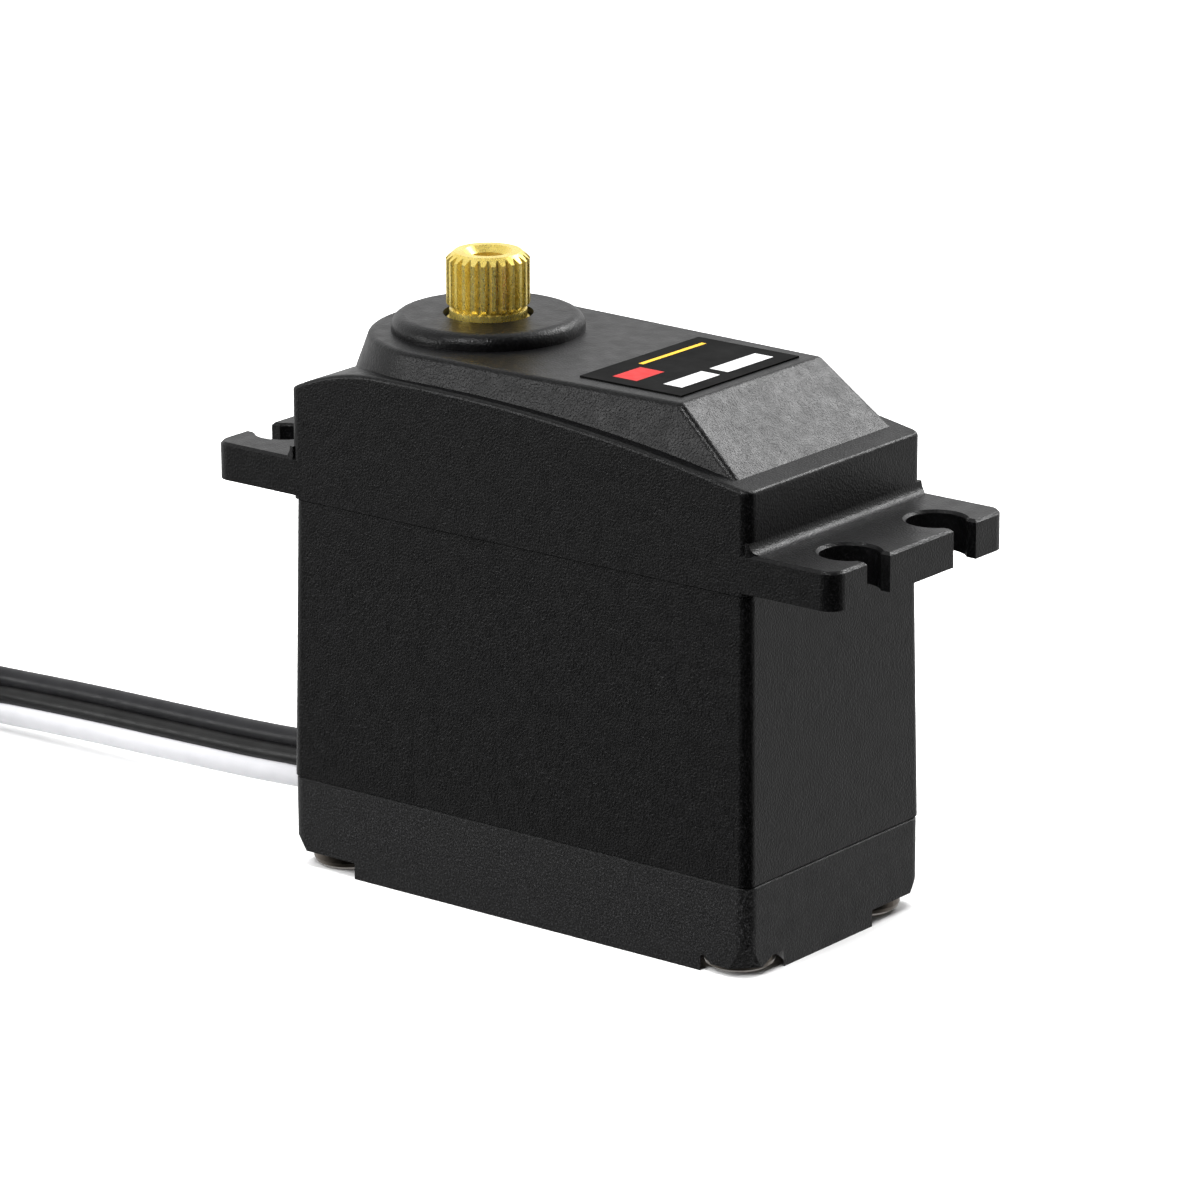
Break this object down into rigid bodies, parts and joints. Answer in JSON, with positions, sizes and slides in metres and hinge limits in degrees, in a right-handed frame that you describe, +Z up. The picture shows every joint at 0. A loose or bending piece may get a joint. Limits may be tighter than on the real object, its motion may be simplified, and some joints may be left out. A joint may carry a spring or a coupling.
{
  "type": "servo motor",
  "caption": "Standard-size rotary servo: box case with slotted mounting flanges, a splined brass output shaft and a flat three-wire lead.",
  "frame": {"origin": "centre of the bottom of the body's bounding box, lead left out: the case stands on z = 0", "axes": "+X along the case, away from the output shaft's end; +Y across it; +Z up, along the output shaft"},
  "size_m": [0.1655, 0.0357, 0.0448],
  "materials": {
    "case_plastic": "fine-grained black moulded nylon",
    "label": "printed film label",
    "screw_steel": "blackened steel",
    "bearing_steel": "ground bearing steel",
    "cage": "moulded nylon",
    "gear_brass": "machined brass",
    "gear_steel": "hobbed steel",
    "pin_steel": "ground steel",
    "motor_steel": "zinc-plated pressed steel",
    "motor_plastic": "moulded nylon",
    "magnet": "sintered ferrite",
    "bronze": "sintered bronze",
    "core_iron": "stamped laminations",
    "copper": "enamelled copper",
    "pot_plastic": "moulded housing",
    "track": "carbon track",
    "board": "solder-masked laminate",
    "chip": "moulded package",
    "capacitor": "drawn can",
    "wire": "soft PVC insulation",
    "pot_wire": "soft PVC insulation",
    "grommet": "moulded rubber",
    "tie": "coated twist tie",
    "connector": "moulded housing",
    "contact": "gold-flashed spring contact"
  },
  "bodies": {
    "case": {"upper_case": "case_plastic", "middle_case": "case_plastic", "bottom_cover": "case_plastic", "label": "label", "case_screws": "screw_steel", "motor_screws": "screw_steel", "gear_pin_a": "pin_steel", "gear_pin_b": "pin_steel", "upper_bearing_outer_race": "bearing_steel", "lower_bearing_outer_race": "bearing_steel", "motor_can": "motor_steel", "motor_end_cap": "motor_plastic", "motor_bushings": "bronze", "motor_magnets": "magnet", "motor_brushes": "copper", "motor_terminals": "copper", "pot_housing": "pot_plastic", "pot_terminals": "contact", "pot_track": "track", "pot_leads": "pot_wire", "control_board": "board", "board_chips": "chip", "board_capacitor": "capacitor", "board_resistors": "chip", "cable_grommet": "grommet", "servo_lead": "wire", "servo_lead_tail": "wire", "servo_lead_hank": "wire", "lead_ties": "tie", "connector_housing": "connector", "connector_contacts": "contact"},
    "output": {"output_shaft": "gear_brass", "output_gear": "gear_brass", "upper_bearing_inner_race": "bearing_steel", "lower_bearing_inner_race": "bearing_steel", "pot_shaft": "motor_plastic", "pot_wiper": "contact"},
    "third_gear": {"third_gear_wheel": "gear_brass", "third_gear_pinion": "gear_steel"},
    "second_gear": {"second_gear_wheel": "gear_brass", "second_gear_pinion": "gear_steel"},
    "first_gear": {"first_gear_wheel": "gear_brass", "first_gear_pinion": "gear_steel"},
    "rotor": {"motor_shaft": "pin_steel", "rotor_core": "core_iron", "rotor_windings": "copper", "commutator": "copper", "motor_pinion": "gear_brass"},
    "upper_balls": {"upper_bearing_balls": "bearing_steel", "upper_bearing_cage": "cage"},
    "lower_balls": {"lower_bearing_balls": "bearing_steel", "lower_bearing_cage": "cage"}
  },
  "joints": [
    {"name": "rotor_spin", "type": "hinge", "parent": "case", "child": "rotor", "pos_m": [0.00814, -0.0004, 0.034], "axis": [0, 0, 1], "range_deg": [-18040.9, 18040.9]},
    {"name": "first_gear_spin", "type": "hinge", "parent": "case", "child": "first_gear", "pos_m": [-0.00007, -0.0012, 0.034], "axis": [0, 0, 1], "range_deg": [-4009.14, 4009.14]},
    {"name": "second_gear_spin", "type": "hinge", "parent": "case", "child": "second_gear", "pos_m": [0.00706, 0.00215, 0.034], "axis": [0, 0, 1], "range_deg": [-1145.5, 1145.5]},
    {"name": "third_gear_spin", "type": "hinge", "parent": "case", "child": "third_gear", "pos_m": [-0.00007, -0.0012, 0.034], "axis": [0, 0, 1], "range_deg": [-327.32, 327.32]},
    {"name": "output_turn", "type": "hinge", "parent": "case", "child": "output", "pos_m": [-0.0102, 0, 0.034], "axis": [0, 0, 1], "range_deg": [-90, 90]},
    {"name": "upper_balls_roll", "type": "hinge", "parent": "case", "child": "upper_balls", "pos_m": [-0.0102, 0, 0.034], "axis": [0, 0, 1], "range_deg": [-38.3, 38.3]},
    {"name": "lower_balls_roll", "type": "hinge", "parent": "case", "child": "lower_balls", "pos_m": [-0.0102, 0, 0.034], "axis": [0, 0, 1], "range_deg": [-39.51, 39.51]}
  ],
  "couplings": [
    {"joint": "first_gear_spin", "follows": "rotor_spin", "ratio": -0.22222},
    {"joint": "second_gear_spin", "follows": "rotor_spin", "ratio": 0.063492},
    {"joint": "third_gear_spin", "follows": "rotor_spin", "ratio": -0.018141},
    {"joint": "output_turn", "follows": "rotor_spin", "ratio": 0.0049887},
    {"joint": "upper_balls_roll", "follows": "rotor_spin", "ratio": 0.0021202},
    {"joint": "lower_balls_roll", "follows": "rotor_spin", "ratio": 0.0021873}
  ]
}
